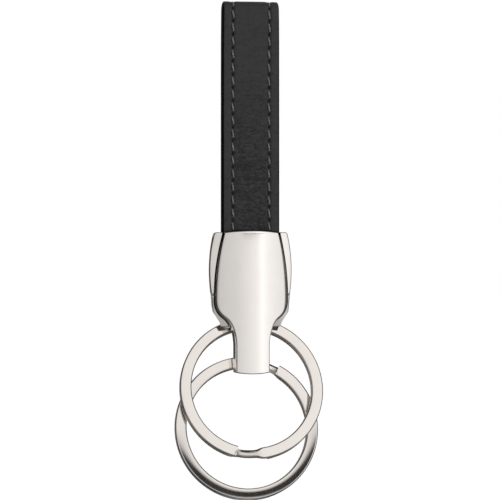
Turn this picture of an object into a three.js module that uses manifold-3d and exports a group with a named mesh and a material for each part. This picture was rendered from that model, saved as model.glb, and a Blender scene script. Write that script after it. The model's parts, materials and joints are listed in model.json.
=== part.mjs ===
// Leather-loop key fob with two flat split rings.
// Millimetres, +Z up along the hanging strap, front towards -Y, origin at the top of the strap loop.
import * as THREE from 'three';
import { mergeVertices } from 'three/addons/utils/BufferGeometryUtils.js';
import Module from 'manifold-3d';

const wasm = await Module();
wasm.setup();

// ---------- driving dimensions ----------
const FIT_GAP = 0.12; // air round a pin in its hole
const CLEARANCE = 0.3; // air between castings that face each other

// strap
const STRAP_WIDTH = 12;
const STRAP_HALF_THICKNESS = 1.6; // from the middle plane to the outer leather
const LOOP_RADIUS = 2.1; // outer radius of the bend at the top
const LOOP_TAPER_Z = -14; // the legs lie parallel below this height
const FACE_THICKNESS = 0.75;
const LINING_THICKNESS = 0.6;
const GLUE_LINE = 0.05;
const FLEX_Z = -43; // the strap bends here, just above the metal body
const FLEX_GAP = 1.3; // parts the strap's solids so that they can bend
const STRAP_END_Z = -58.2;
const STITCH_INSET = 2.2; // stitch line from the strap's edge
const STITCH_GROOVE_WIDTH = 0.66;
const STITCH_GROOVE_DEPTH = 0.3;
const THREAD_WIDTH = 0.5;
const THREAD_HEIGHT = 0.22;
const THREAD_DEPTH = 0.03; // the thread lies this far below the leather's surface

// metal body
const BODY_TOP = -48.3;
const PARTING_Z = -61.2; // strap frame above, shoulder block below
const SHOULDER_BOTTOM = -67.8;
const NECK_BOTTOM = -77.2;
const BODY_MAX_HALF_WIDTH = 10; // wider than the body anywhere
const WING_RIDGE_X = 6; // the wings' faces slope back from here outwards
const WING_RIDGE_HALF_THICKNESS = 2;
const WING_SLOPE = 0.4;
const BLOCK_TOP_HALF_THICKNESS = 2.2; // the shoulder block's faces slope back downwards
const BLOCK_BOTTOM_HALF_THICKNESS = 1.1;
const WEB_HALF_THICKNESS = 0.5; // the frame's thin middle, between the plates
const GROOVE = 0.53; // between a plate's edge and the wing
const POCKET_HALF_WIDTH = STRAP_WIDTH / 2 + 0.15;
const POCKET_HALF_DEPTH = STRAP_HALF_THICKNESS + 0.1;
const POCKET_BOTTOM = -58.5;
const PLATE_BACK = WEB_HALF_THICKNESS + CLEARANCE;
const TOP_HALF_WIDTH = 5.58; // of a plate, at its top edge
const NECK_HALF_WIDTH = 3.4;
const TONGUE_HALF_WIDTH = 2.6;
const TONGUE_DROP = 0.1; // the tongue reaches this far below the front plate's neck
const TOP_ARCH = 0.36; // rise of a plate's arched top edge
const BOTTOM_ARCH = 0.3;
const BELLY_Z = -62; // the plates are thickest from here down
const TOP_TAPER = 1.14; // and this much thinner at the top edge
const CROWN_CURVATURE = 0.0528; // rise lost per mm squared away from the centre line
const FRONT_CROWN = 4.9;
const REAR_CROWN = 5.3;

// split rings
const RING_OUTER = 15;
const RING_INNER = 12.6;
const RING_CENTRE_DROP = (RING_OUTER + RING_INNER) / 2; // swing axis to ring centre
const COIL_THICKNESS = 0.97;
const COIL_PITCH = 1.03; // front coil to rear coil
const RING_HALF_THICKNESS = (COIL_PITCH + COIL_THICKNESS) / 2;
const WIRE_BEVEL = 0.28;
const FRONT_RING_TILT = THREE.MathUtils.degToRad(17); // the rings lie stacked, bottoms forward
const REAR_RING_TILT = THREE.MathUtils.degToRad(13.5);
const RING_AXIS_Y = 2.25;
const FRONT_RING_AXIS_Z = -67.4;
const REAR_RING_AXIS_Z = -75.4;
const REAR_RING_SHIFT_X = -0.9;
const FRONT_RING_CLOCK = THREE.MathUtils.degToRad(2.5); // joggle at the bottom
const REAR_RING_CLOCK = THREE.MathUtils.degToRad(196.7); // joggle at the top, beside the neck
const JOGGLE = THREE.MathUtils.degToRad(21); // turn over which the wire changes coil
const JOGGLE_PINCH = 0.45; // share of its width that the wire loses there
const END_GAP = THREE.MathUtils.degToRad(2.5); // bare stretch before each cut end
const SWING_CLEARANCE = 0.1;
const SLOT_FRONT_Y = 0.2;
const SLOT_REAR_Y = 4.25;
const SLOT_TOP_Z = -65.6;
const SLOT_BOTTOM_Z = -76.8;

// pins and screws
const RING_PIN_RADIUS = 0.9;
const RING_PIN_Z = -69.95;
const RING_PIN_FRONT_Y = -1.4;
const RING_PIN_REAR_Y = 4.6;
const RIVET_RADIUS = 0.9;
const RIVET_HALF_LENGTH = 2.5;
const RIVET_X = 3.2;
const RIVET_Z = -54.5;
const PIN_END_GAP = 0.2; // air beyond the end of a pin in a blind hole
const SCREW_RADIUS = 0.7;
const SCREW_HEAD_RADIUS = 1.25;
const SCREW_HEAD_HEIGHT = 0.9;
const SCREW_LENGTH = 4.6;
const SCREW_HEAD_FLOOR_Y = 2.7;
const SCREW_TIP_Y = SCREW_HEAD_FLOOR_Y - SCREW_LENGTH;
const SOCKET_RADIUS = 0.65;
const SOCKET_DEPTH = 0.55;
const SCREW_PLACES = [
  { name: 'upper_left', x: -4.7, z: -60.2 },
  { name: 'upper_right', x: 4.7, z: -60.2 },
  { name: 'lower_left', x: -3.9, z: -63.6 },
  { name: 'lower_right', x: 3.9, z: -63.6 },
];

const ROUND_SIDES = 24;
const SHANK_SIDES = 16;
const SOCKET_SIDES = 6;
const SPAN = 60; // longer than anything it cuts

// ---------- materials ----------
const leather = new THREE.MeshStandardMaterial({ color: 0x343434, roughness: 0.6, metalness: 0 });
const lining = new THREE.MeshStandardMaterial({ color: 0x2a2a2a, roughness: 0.75, metalness: 0 });
const thread = new THREE.MeshStandardMaterial({ color: 0x3e3e3e, roughness: 0.5, metalness: 0 });
const nickel = new THREE.MeshStandardMaterial({ color: 0xddd6cf, roughness: 0.18, metalness: 1 });
const ringNickel = new THREE.MeshStandardMaterial({ color: 0xd8d1ca, roughness: 0.28, metalness: 1 });
const steel = new THREE.MeshStandardMaterial({ color: 0xb9b6b2, roughness: 0.35, metalness: 1 });

// ---------- solids ----------
function toSolid(geometry) {
  const bare = geometry.clone();
  bare.deleteAttribute('normal');
  bare.deleteAttribute('uv');
  const merged = mergeVertices(bare, 1e-5);
  return new wasm.Manifold(new wasm.Mesh({
    numProp: 3,
    vertProperties: new Float32Array(merged.attributes.position.array),
    triVerts: new Uint32Array(merged.index.array),
  }));
}

function toGeometry(solid) {
  const { vertProperties, triVerts } = solid.getMesh();
  const geometry = new THREE.BufferGeometry();
  geometry.setAttribute('position', new THREE.BufferAttribute(new Float32Array(vertProperties), 3));
  geometry.setIndex(new THREE.BufferAttribute(new Uint32Array(triVerts), 1));
  geometry.computeVertexNormals();
  return geometry;
}

function box(x0, x1, y0, y1, z0, z1) {
  const geometry = new THREE.BoxGeometry(x1 - x0, y1 - y0, z1 - z0);
  geometry.translate((x0 + x1) / 2, (y0 + y1) / 2, (z0 + z1) / 2);
  return toSolid(geometry);
}

// A cylinder along Y.
function pinAlongY(radius, x, z, y0, y1, sides = ROUND_SIDES) {
  const geometry = new THREE.CylinderGeometry(radius, radius, y1 - y0, sides);
  geometry.translate(x, (y0 + y1) / 2, z);
  return toSolid(geometry);
}

// A flat outline drawn in X and Z, given thickness from y0 to y1.
function slab(shape, y0, y1, curveSegments = 10) {
  const geometry = new THREE.ExtrudeGeometry(shape, { depth: y1 - y0, bevelEnabled: false, curveSegments });
  geometry.rotateX(Math.PI / 2); // the shape's second axis becomes Z, its depth runs to -Y
  geometry.translate(0, y1, 0);
  return toSolid(geometry);
}

// A flat outline drawn in X and Y, given height from z0 to z1.
function planSlab(shape, z0, z1) {
  const geometry = new THREE.ExtrudeGeometry(shape, { depth: z1 - z0, bevelEnabled: false });
  geometry.translate(0, 0, z0);
  return toSolid(geometry);
}

// A flat outline drawn in Y and Z, given width from x0 to x1.
function sideSlab(shape, x0, x1) {
  const geometry = new THREE.ExtrudeGeometry(shape, { depth: x1 - x0, bevelEnabled: false });
  geometry.applyMatrix4(new THREE.Matrix4().set(
    0, 0, 1, x0,
    1, 0, 0, 0,
    0, 1, 0, 0,
    0, 0, 0, 1));
  return toSolid(geometry);
}

// Mirrors a right-hand edge, a list of curves from top to bottom, into a closed outline.
function mirroredOutline(curves, offset, segments) {
  const edge = curves.flatMap((curve, i) => curve.getPoints(segments).slice(i === 0 ? 0 : 1));
  const right = edge.map((point, i) => {
    const before = edge[Math.max(i - 1, 0)];
    const after = edge[Math.min(i + 1, edge.length - 1)];
    const normal = new THREE.Vector2(before.y - after.y, after.x - before.x).normalize();
    return point.clone().addScaledVector(normal, offset);
  });
  const left = right.map((point) => new THREE.Vector2(-point.x, point.y)).reverse();
  return new THREE.Shape([...right, ...left]);
}

const point = (x, z) => new THREE.Vector2(x, z);

// The right-hand edge of a bottle-shaped plate: flank, shoulder and neck.
function bottleEdge(neckHalfWidth, bottom) {
  return [
    new THREE.CubicBezierCurve(
      point(TOP_HALF_WIDTH, BODY_TOP), point(6.45, -52.2), point(7.25, -57.5), point(7.28, BELLY_Z)),
    new THREE.CubicBezierCurve(
      point(7.28, BELLY_Z), point(7.3, -63.7), point(6.6, -64.9), point(5.4, -65.9)),
    new THREE.CubicBezierCurve(
      point(5.4, -65.9), point(4.6, -66.6), point(neckHalfWidth + 0.15, -68.3), point(neckHalfWidth, -71.5)),
    new THREE.LineCurve(point(neckHalfWidth, -71.5), point(neckHalfWidth, bottom)),
  ];
}

// The right-hand edge of the whole metal body without its neck.
function bodyEdge() {
  return [
    new THREE.QuadraticBezierCurve(point(7.1, BODY_TOP), point(7.75, BODY_TOP), point(7.85, -49)),
    new THREE.CubicBezierCurve(point(7.85, -49), point(8.75, -53), point(8.75, -57.5), point(8.2, PARTING_Z)),
    new THREE.CubicBezierCurve(point(8.2, PARTING_Z), point(8.05, -63), point(7.9, -64.2), point(7.6, -65.8)),
    new THREE.QuadraticBezierCurve(point(7.6, -65.8), point(7.35, -67.3), point(5.9, SHOULDER_BOTTOM)),
  ];
}

// Height of a plate's outer surface from the middle plane.
function crown(x, z, top) {
  const rise = Math.max(z - BELLY_Z, 0) / (BODY_TOP - BELLY_Z);
  return top - TOP_TAPER * rise * rise - CROWN_CURVATURE * x * x;
}

// A block with a crowned outer face towards side (-1 front, +1 rear) and a flat inner face.
function crownedBlock(side, top, innerY) {
  const halfWidth = 9;
  const low = NECK_BOTTOM - 1;
  const high = BODY_TOP + 1;
  const geometry = new THREE.BoxGeometry(2 * halfWidth, 2, high - low, 16, 1, 14);
  geometry.translate(0, 0, (high + low) / 2);
  const position = geometry.attributes.position;
  for (let i = 0; i < position.count; i += 1) {
    const outer = position.getY(i) * side > 0;
    const y = outer ? side * crown(position.getX(i), position.getZ(i), top) : innerY;
    position.setY(i, y);
  }
  return toSolid(geometry);
}

// Everything that a ring sweeps as it swings about the X axis through its top.
function ringSweep(axisZ, shiftX) {
  const reach = 11;
  const steps = 16;
  const profile = [new THREE.Vector2(0, -reach)];
  for (let i = 0; i <= steps; i += 1) {
    const x = -reach + (2 * reach * i) / steps;
    const inner = RING_CENTRE_DROP - Math.sqrt(RING_INNER ** 2 - x ** 2);
    const corner = Math.hypot(inner - WIRE_BEVEL, RING_HALF_THICKNESS - WIRE_BEVEL) + WIRE_BEVEL;
    profile.push(new THREE.Vector2(corner + SWING_CLEARANCE, x));
  }
  profile.push(new THREE.Vector2(0, reach));
  const geometry = new THREE.LatheGeometry(profile, ROUND_SIDES);
  geometry.rotateZ(-Math.PI / 2);
  geometry.translate(shiftX, RING_AXIS_Y, axisZ);
  return toSolid(geometry);
}

const frontRingSweep = ringSweep(FRONT_RING_AXIS_Z, 0);
const rearRingSweep = ringSweep(REAR_RING_AXIS_Z, REAR_RING_SHIFT_X);

// ---------- strap ----------
// Distance from the middle plane to the strap's outer surface.
function strapHalf(z) {
  const t = THREE.MathUtils.smoothstep(z, LOOP_TAPER_Z, -LOOP_RADIUS);
  return THREE.MathUtils.lerp(STRAP_HALF_THICKNESS, LOOP_RADIUS, t);
}

// One side of a layer: up the front leg, round the bend, down the rear leg.
function loopLine(depth) {
  const legSteps = 8;
  const bendSteps = 10;
  const bottom = FLEX_Z + FLEX_GAP / 2;
  const line = [new THREE.Vector2(-(STRAP_HALF_THICKNESS - depth), bottom)];
  for (let i = 0; i < legSteps; i += 1) {
    const z = THREE.MathUtils.lerp(LOOP_TAPER_Z, -LOOP_RADIUS, i / legSteps);
    line.push(new THREE.Vector2(-(strapHalf(z) - depth), z));
  }
  for (let i = 0; i <= bendSteps / 2; i += 1) {
    const angle = Math.PI - (Math.PI * i) / bendSteps;
    const radius = LOOP_RADIUS - depth;
    line.push(new THREE.Vector2(radius * Math.cos(angle), -LOOP_RADIUS + radius * Math.sin(angle)));
  }
  const back = line.slice(0, -1).map((p) => new THREE.Vector2(-p.x, p.y)).reverse();
  return [...line, ...back];
}

// A layer of the loop, between two depths below the outer surface, centred on x.
function loopLayer(outerDepth, innerDepth, width, x) {
  const outline = [...loopLine(outerDepth), ...loopLine(innerDepth).reverse()];
  return sideSlab(new THREE.Shape(outline), x - width / 2, x + width / 2);
}

const stitchLines = [
  { name: 'left', x: STITCH_INSET - STRAP_WIDTH / 2 },
  { name: 'right', x: STRAP_WIDTH / 2 - STITCH_INSET },
];

// The outer leather, with a groove pressed in along each row of stitches.
function strapFace() {
  const face = loopLayer(0, FACE_THICKNESS, STRAP_WIDTH, 0);
  return stitchLines.reduce(
    (rest, { x }) => rest.subtract(loopLayer(-1, STITCH_GROOVE_DEPTH, STITCH_GROOVE_WIDTH, x)), face);
}

function stitchRow(x) {
  return loopLayer(THREAD_DEPTH, THREAD_DEPTH + THREAD_HEIGHT, THREAD_WIDTH, x);
}

// Holes for the two rivets, to just beyond their ends.
function drillRivets(solid) {
  const reach = RIVET_HALF_LENGTH + PIN_END_GAP;
  return [-RIVET_X, RIVET_X].reduce(
    (rest, x) => rest.subtract(pinAlongY(RIVET_RADIUS + FIT_GAP, x, RIVET_Z, -reach, reach)), solid);
}

// The end of one layer of one leg, inside the clamp, with its rivet holes.
function strapEnd(side, outerDepth, innerDepth) {
  const outer = side * (STRAP_HALF_THICKNESS - outerDepth);
  const inner = side * (STRAP_HALF_THICKNESS - innerDepth);
  const half = STRAP_WIDTH / 2;
  const top = FLEX_Z - FLEX_GAP / 2;
  return drillRivets(box(-half, half, Math.min(outer, inner), Math.max(outer, inner), STRAP_END_Z, top));
}

// ---------- metal body ----------
// Front and rear faces that slope back from a ridge near the middle to each side.
function wingFaces() {
  const ridge = WING_RIDGE_HALF_THICKNESS;
  const side = ridge - WING_SLOPE * (BODY_MAX_HALF_WIDTH - WING_RIDGE_X);
  return planSlab(new THREE.Shape([
    point(-BODY_MAX_HALF_WIDTH, -side), point(-WING_RIDGE_X, -ridge),
    point(WING_RIDGE_X, -ridge), point(BODY_MAX_HALF_WIDTH, -side),
    point(BODY_MAX_HALF_WIDTH, side), point(WING_RIDGE_X, ridge),
    point(-WING_RIDGE_X, ridge), point(-BODY_MAX_HALF_WIDTH, side),
  ]), -2 * SPAN, 0);
}

// Front and rear faces that slope back downwards.
function blockFaces() {
  return sideSlab(new THREE.Shape([
    point(-BLOCK_TOP_HALF_THICKNESS, PARTING_Z), point(-BLOCK_BOTTOM_HALF_THICKNESS, SHOULDER_BOTTOM),
    point(BLOCK_BOTTOM_HALF_THICKNESS, SHOULDER_BOTTOM), point(BLOCK_TOP_HALF_THICKNESS, PARTING_Z),
  ]), -SPAN, SPAN);
}

// The body between two heights: full thickness at its sides, thin between the plates.
function bodySlab(faces, low, high) {
  const overlap = 1;
  const halfLid = TOP_HALF_WIDTH + GROOVE;
  const whole = slab(mirroredOutline(bodyEdge(), 0, 8), -SPAN, SPAN).intersect(faces);
  const grooved = slab(mirroredOutline(bottleEdge(NECK_HALF_WIDTH, NECK_BOTTOM), GROOVE, 8), -SPAN, SPAN);
  const web = box(-SPAN, SPAN, -WEB_HALF_THICKNESS, WEB_HALF_THICKNESS, -2 * SPAN, SPAN);
  return whole
    .subtract(grooved.subtract(web))
    .subtract(box(-halfLid, halfLid, -SPAN, SPAN, BODY_TOP - overlap, BODY_TOP + overlap).subtract(web))
    .intersect(box(-SPAN, SPAN, -SPAN, SPAN, low, high));
}

function drillScrews(solid, radius, y0, y1) {
  return SCREW_PLACES.reduce(
    (rest, { x, z }) => rest.subtract(pinAlongY(radius, x, z, y0, y1)), solid);
}

// Holes for the screws' shanks, to just beyond their tips.
function drillShanks(solid) {
  return drillScrews(solid, SCREW_RADIUS + FIT_GAP, SCREW_TIP_Y - PIN_END_GAP, SPAN);
}

function strapFrame() {
  const pocket = box(
    -POCKET_HALF_WIDTH, POCKET_HALF_WIDTH, -SPAN, SPAN, POCKET_BOTTOM, BODY_TOP + 1);
  return drillShanks(bodySlab(wingFaces(), PARTING_Z, BODY_TOP).subtract(pocket));
}

function shoulderBlock() {
  const block = bodySlab(blockFaces(), SHOULDER_BOTTOM, PARTING_Z - FIT_GAP);
  return drillShanks(block.subtract(frontRingSweep));
}

function strapPocket() {
  return box(-POCKET_HALF_WIDTH, POCKET_HALF_WIDTH, -POCKET_HALF_DEPTH, POCKET_HALF_DEPTH,
    POCKET_BOTTOM, BODY_TOP + 2);
}

// The plate's outline with gently arched top and bottom edges.
function plateOutline(neckHalfWidth, bottom) {
  const outline = mirroredOutline(bottleEdge(neckHalfWidth, bottom), 0, 10);
  const arch = (halfWidth, z, rise) => {
    const steps = 8;
    const row = [];
    for (let i = 1; i < steps; i += 1) {
      const t = (2 * i) / steps - 1;
      row.push(point(halfWidth * t, z + rise * (1 - t * t)));
    }
    return row;
  };
  const points = outline.getPoints();
  const half = points.length / 2;
  return new THREE.Shape([
    ...points.slice(0, half),
    ...arch(neckHalfWidth, bottom, -BOTTOM_ARCH).reverse(),
    ...points.slice(half),
    ...arch(TOP_HALF_WIDTH, BODY_TOP, TOP_ARCH),
  ]);
}

// A deep slot from side to side, which the rings pass through.
function ringSlot() {
  return box(-SPAN, SPAN, SLOT_FRONT_Y, SLOT_REAR_Y, SLOT_BOTTOM_Z, SLOT_TOP_Z);
}

function ringPinHole(bottomY) {
  return pinAlongY(RING_PIN_RADIUS + FIT_GAP, 0, RING_PIN_Z, bottomY, SPAN);
}

function frontPlate() {
  const block = crownedBlock(-1, FRONT_CROWN, SLOT_FRONT_Y)
    .intersect(slab(plateOutline(NECK_HALF_WIDTH, NECK_BOTTOM), -SPAN, SPAN));
  const bodyRoom = box(-SPAN, SPAN, -PLATE_BACK, SPAN, SHOULDER_BOTTOM - CLEARANCE, BODY_TOP + 2);
  const solid = block
    .subtract(bodyRoom)
    .subtract(strapPocket())
    .subtract(frontRingSweep)
    .subtract(rearRingSweep)
    .subtract(ringPinHole(RING_PIN_FRONT_Y - PIN_END_GAP));
  return drillShanks(drillRivets(solid));
}

function rearPlate() {
  const bottom = NECK_BOTTOM - TONGUE_DROP;
  const block = crownedBlock(1, REAR_CROWN, SLOT_FRONT_Y + CLEARANCE)
    .intersect(slab(plateOutline(TONGUE_HALF_WIDTH, bottom), -SPAN, SPAN));
  const bodyRoom = box(-SPAN, SPAN, -SPAN, PLATE_BACK, SHOULDER_BOTTOM, BODY_TOP + 2);
  const solid = block
    .subtract(bodyRoom)
    .subtract(strapPocket())
    .subtract(ringSlot())
    .subtract(frontRingSweep)
    .subtract(rearRingSweep)
    .subtract(ringPinHole(0));
  const drilled = drillShanks(drillRivets(solid));
  return drillScrews(drilled, SCREW_HEAD_RADIUS + FIT_GAP, SCREW_HEAD_FLOOR_Y - FIT_GAP, SPAN);
}

// ---------- fasteners ----------
function coverScrew({ x, z }) {
  const headTop = SCREW_HEAD_FLOOR_Y + SCREW_HEAD_HEIGHT;
  const shankTop = SCREW_HEAD_FLOOR_Y + SCREW_HEAD_HEIGHT / 4; // inside the head, so that the two join
  return pinAlongY(SCREW_RADIUS, x, z, SCREW_TIP_Y, shankTop, SHANK_SIDES)
    .add(pinAlongY(SCREW_HEAD_RADIUS, x, z, SCREW_HEAD_FLOOR_Y, headTop))
    .subtract(pinAlongY(SOCKET_RADIUS, x, z, headTop - SOCKET_DEPTH, SPAN, SOCKET_SIDES));
}

// ---------- split rings ----------
// The wire's section: width along the radius, height along the axis, with bevelled corners.
function wireSection(width, height) {
  const w = width / 2;
  const h = height / 2;
  const b = Math.min(WIRE_BEVEL, w / 2);
  return [[w, h - b], [w - b, h], [b - w, h], [-w, h - b], [-w, b - h], [b - w, -h], [w - b, -h], [w, b - h]];
}

// Two coils of flat wire: the front coil runs on through a joggle into the rear one.
// The ring lies in X and Z about its own centre, front coil towards -Y.
function splitRing() {
  const stepsPerTurn = 64;
  const total = 4 * Math.PI - JOGGLE - 2 * END_GAP;
  const steps = Math.round((2 * stepsPerTurn * total) / (4 * Math.PI));
  const middle = total / 2;
  const fullWidth = RING_OUTER - RING_INNER;
  const meanRadius = (RING_OUTER + RING_INNER) / 2;
  const positions = [];
  const index = [];
  for (let i = 0; i <= steps; i += 1) {
    const along = (total * i) / steps;
    const across = THREE.MathUtils.smoothstep(along, middle - JOGGLE / 2, middle + JOGGLE / 2);
    const width = fullWidth * (1 - JOGGLE_PINCH * 4 * across * (1 - across));
    const angle = along - middle;
    for (const [dr, dy] of wireSection(width, COIL_THICKNESS)) {
      const radius = meanRadius + dr;
      const y = (across - 0.5) * COIL_PITCH + dy;
      positions.push(-radius * Math.sin(angle), y, -radius * Math.cos(angle));
    }
  }
  const sides = wireSection(fullWidth, COIL_THICKNESS).length;
  for (let i = 0; i < steps; i += 1) {
    for (let j = 0; j < sides; j += 1) {
      const a = i * sides + j;
      const b = i * sides + ((j + 1) % sides);
      index.push(a, a + sides, b, b, a + sides, b + sides);
    }
  }
  const last = steps * sides;
  for (let j = 1; j < sides - 1; j += 1) {
    index.push(0, j, j + 1);
    index.push(last, last + j + 1, last + j);
  }
  const geometry = new THREE.BufferGeometry();
  geometry.setAttribute('position', new THREE.Float32BufferAttribute(positions, 3));
  geometry.setIndex(index);
  geometry.computeVertexNormals();
  return geometry;
}

// ---------- assembly ----------
const fob = new THREE.Group();

function addSolid(name, solid, material) {
  const mesh = new THREE.Mesh(toGeometry(solid), material);
  mesh.name = name;
  fob.add(mesh);
}

// Hangs a ring by its top, turned about its own centre so that its joggle points to clock.
function addRing(name, axisZ, shiftX, tilt, clock) {
  const mesh = new THREE.Mesh(splitRing(), ringNickel);
  mesh.name = name;
  mesh.position.z = -RING_CENTRE_DROP;
  mesh.rotation.y = clock;
  const swing = new THREE.Group();
  swing.position.set(shiftX, RING_AXIS_Y, axisZ);
  swing.rotation.x = -tilt;
  swing.add(mesh);
  fob.add(swing);
}

const liningTop = FACE_THICKNESS + GLUE_LINE;
const liningBottom = liningTop + LINING_THICKNESS;
addSolid('strap_face', strapFace(), leather);
addSolid('strap_lining', loopLayer(liningTop, liningBottom, STRAP_WIDTH, 0), lining);
for (const { name, x } of stitchLines) {
  addSolid(`stitch_row_${name}`, stitchRow(x), thread);
}
for (const [name, side] of [['front', -1], ['rear', 1]]) {
  addSolid(`strap_end_${name}_face`, strapEnd(side, 0, FACE_THICKNESS), leather);
  addSolid(`strap_end_${name}_lining`, strapEnd(side, liningTop, liningBottom), lining);
}
addSolid('strap_frame', strapFrame(), nickel);
addSolid('shoulder_block', shoulderBlock(), nickel);
addSolid('front_plate', frontPlate(), nickel);
addSolid('rear_plate', rearPlate(), nickel);
for (const [name, side] of [['left', -1], ['right', 1]]) {
  const rivet = pinAlongY(RIVET_RADIUS, side * RIVET_X, RIVET_Z, -RIVET_HALF_LENGTH, RIVET_HALF_LENGTH);
  addSolid(`strap_rivet_${name}`, rivet, steel);
}
addSolid('ring_bar', pinAlongY(RING_PIN_RADIUS, 0, RING_PIN_Z, RING_PIN_FRONT_Y, RING_PIN_REAR_Y), steel);
for (const place of SCREW_PLACES) {
  addSolid(`cover_screw_${place.name}`, coverScrew(place), steel);
}
addRing('split_ring_front', FRONT_RING_AXIS_Z, 0, FRONT_RING_TILT, FRONT_RING_CLOCK);
addRing('split_ring_rear', REAR_RING_AXIS_Z, REAR_RING_SHIFT_X, REAR_RING_TILT, REAR_RING_CLOCK);

export default fob;
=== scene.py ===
"""The looks of a leather-loop key fob with two flat split rings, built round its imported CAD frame.

Lengths are millimetres in the CAD's own frame until add_piece() turns them into metres.
"""

import json
import math

import bmesh
import bpy
import numpy as np
from mathutils import Matrix, Vector, noise


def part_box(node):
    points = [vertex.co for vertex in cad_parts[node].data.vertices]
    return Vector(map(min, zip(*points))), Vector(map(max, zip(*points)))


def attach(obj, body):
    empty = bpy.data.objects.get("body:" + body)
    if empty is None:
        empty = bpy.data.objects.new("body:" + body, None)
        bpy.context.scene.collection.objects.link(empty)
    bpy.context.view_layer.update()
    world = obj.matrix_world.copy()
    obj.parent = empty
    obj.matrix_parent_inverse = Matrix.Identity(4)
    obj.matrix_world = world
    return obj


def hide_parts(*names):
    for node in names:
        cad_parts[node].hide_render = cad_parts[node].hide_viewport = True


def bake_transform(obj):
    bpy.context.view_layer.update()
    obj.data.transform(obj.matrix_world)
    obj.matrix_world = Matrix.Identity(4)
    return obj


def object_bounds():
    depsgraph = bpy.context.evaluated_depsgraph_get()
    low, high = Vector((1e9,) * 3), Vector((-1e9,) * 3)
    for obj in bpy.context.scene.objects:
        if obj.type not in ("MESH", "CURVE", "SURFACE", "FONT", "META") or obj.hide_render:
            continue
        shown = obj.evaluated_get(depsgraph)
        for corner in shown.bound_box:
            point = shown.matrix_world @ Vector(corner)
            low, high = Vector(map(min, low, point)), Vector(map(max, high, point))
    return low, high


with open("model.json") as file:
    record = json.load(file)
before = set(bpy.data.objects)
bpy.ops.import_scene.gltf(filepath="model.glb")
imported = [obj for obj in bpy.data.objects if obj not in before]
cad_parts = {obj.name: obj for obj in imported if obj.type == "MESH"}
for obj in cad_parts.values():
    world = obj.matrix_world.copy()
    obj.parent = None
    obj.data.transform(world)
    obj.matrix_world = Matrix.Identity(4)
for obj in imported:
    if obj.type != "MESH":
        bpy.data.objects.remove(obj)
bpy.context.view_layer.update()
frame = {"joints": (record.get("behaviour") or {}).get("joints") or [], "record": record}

MM = 0.001
SPAN = 60  # reaches past anything it cuts
ROUND_SIDES = 48


# ---------- sizes read from the frame ----------
def box_mm(node):
    low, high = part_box(node)
    return low / MM, high / MM


def middle(low, high):
    """X and Z of a box's middle."""
    return (low.x + high.x) / 2, (low.z + high.z) / 2


def half_width(low, high):
    return (high.x - low.x) / 2


def joint_mm(name):
    joint = next(j for j in frame["joints"] if j["name"] == name)
    return Vector(joint["pos_m"]) / MM


def mount(name):
    return next(m for m in frame["record"]["mounts"] if m["name"] == name)


_, STRAP_HIGH = box_mm("strap_face")
END_LOW, END_HIGH = box_mm("strap_end_front_face")
END_LINING_LOW, END_LINING_HIGH = box_mm("strap_end_front_lining")
FRAME_LOW, FRAME_HIGH = box_mm("strap_frame")
BLOCK_LOW, _ = box_mm("shoulder_block")
FRONT_LOW, FRONT_HIGH = box_mm("front_plate")
REAR_LOW, REAR_HIGH = box_mm("rear_plate")
FLEX = joint_mm("strap_flex")

# strap
STRAP_HALF_WIDTH = STRAP_HIGH.x
LOOP_RADIUS = STRAP_HIGH.y
STRAP_HALF_THICKNESS = -END_LOW.y
FACE_THICKNESS = END_HIGH.y - END_LOW.y
LINING_THICKNESS = END_LINING_HIGH.y - END_LINING_LOW.y
LINING_DEPTH = END_LINING_LOW.y - END_LOW.y
STRAP_END_Z = END_LOW.z
LOOP_TAPER_Z = -14  # above this the strap's two legs part
STITCH_X = 3.8
STITCH_PITCH = 2.75
STITCH_LENGTH = 1.75
BEND_LENGTH = 10  # length about the flex joint between the bend ends that bends_with_strap works out but does not use
FACE_CORNER = 0.4
LINING_CORNER = 0.15

# metal body
BODY_TOP = FRAME_HIGH.z + 0.2
OVER_TOP = BODY_TOP + 2  # cutters that are open at the top end here
PARTING_Z = FRAME_LOW.z
SHOULDER_BOTTOM = BLOCK_LOW.z
TOP_ARCH = FRONT_HIGH.z - FRAME_HIGH.z
BOTTOM_ARCH = 0.3
NECK_BOTTOM = FRONT_LOW.z + BOTTOM_ARCH
TONGUE_BOTTOM = REAR_LOW.z + BOTTOM_ARCH
FRONT_CROWN = -FRONT_LOW.y
REAR_CROWN = REAR_HIGH.y
BELLY_Z = -62  # the plates are thickest from here down
TOP_TAPER = 1.05  # how much each plate thins towards its top edge
CROWN_CURVATURE = 0.0528  # a plate's fall towards its sides is this times x squared
TOP_HALF_WIDTH = 5.72
NECK_HALF_WIDTH = 3.54
TONGUE_HALF_WIDTH = 2.6
GROOVE = 0.32  # between a plate's edge and the body beside it
CLEARANCE = 0.3
FIT_GAP = 0.12
PIN_END_GAP = 0.2
PLATE_BACK = 0.8
WEB_HALF_THICKNESS = 0.5
WING_RIDGE_X = 6
WING_RIDGE_HALF_THICKNESS = 2
WING_SLOPE = 0.4
WING_REAR_SLOPE = 0.65
BLOCK_BOTTOM_HALF_THICKNESS = 0.8
POCKET_HALF_WIDTH = STRAP_HALF_WIDTH + 0.15
POCKET_HALF_DEPTH = STRAP_HALF_THICKNESS + 0.1
POCKET_BOTTOM = STRAP_END_Z - CLEARANCE
SLOT_FRONT_Y = 0.2
SLOT_REAR_Y = 4.25
SLOT_TOP_Z = -65.6
SLOT_BOTTOM_Z = -76.8
EDGE_ROUNDING = 0.18  # of a plate's outer edge
BACK_ROUNDING = 0.08  # of the rear plate's inner edge
BODY_ROUNDING = 0.2
WALL_DRAFT = (0.08, 1.2)  # the front plate's wall slopes in by the first over a depth of the second

# screws
SCREW_RADIUS = 0.7
SCREW_TIP_CHAMFER = (0.15, 0.2)
SCREW_HEAD_HEIGHT = 0.9
SCREW_HEAD_ROUNDING = 0.18
SOCKET_RADIUS = 0.65
SOCKET_DEPTH = 0.55
PIN_CHAMFER = 0.12

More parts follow.
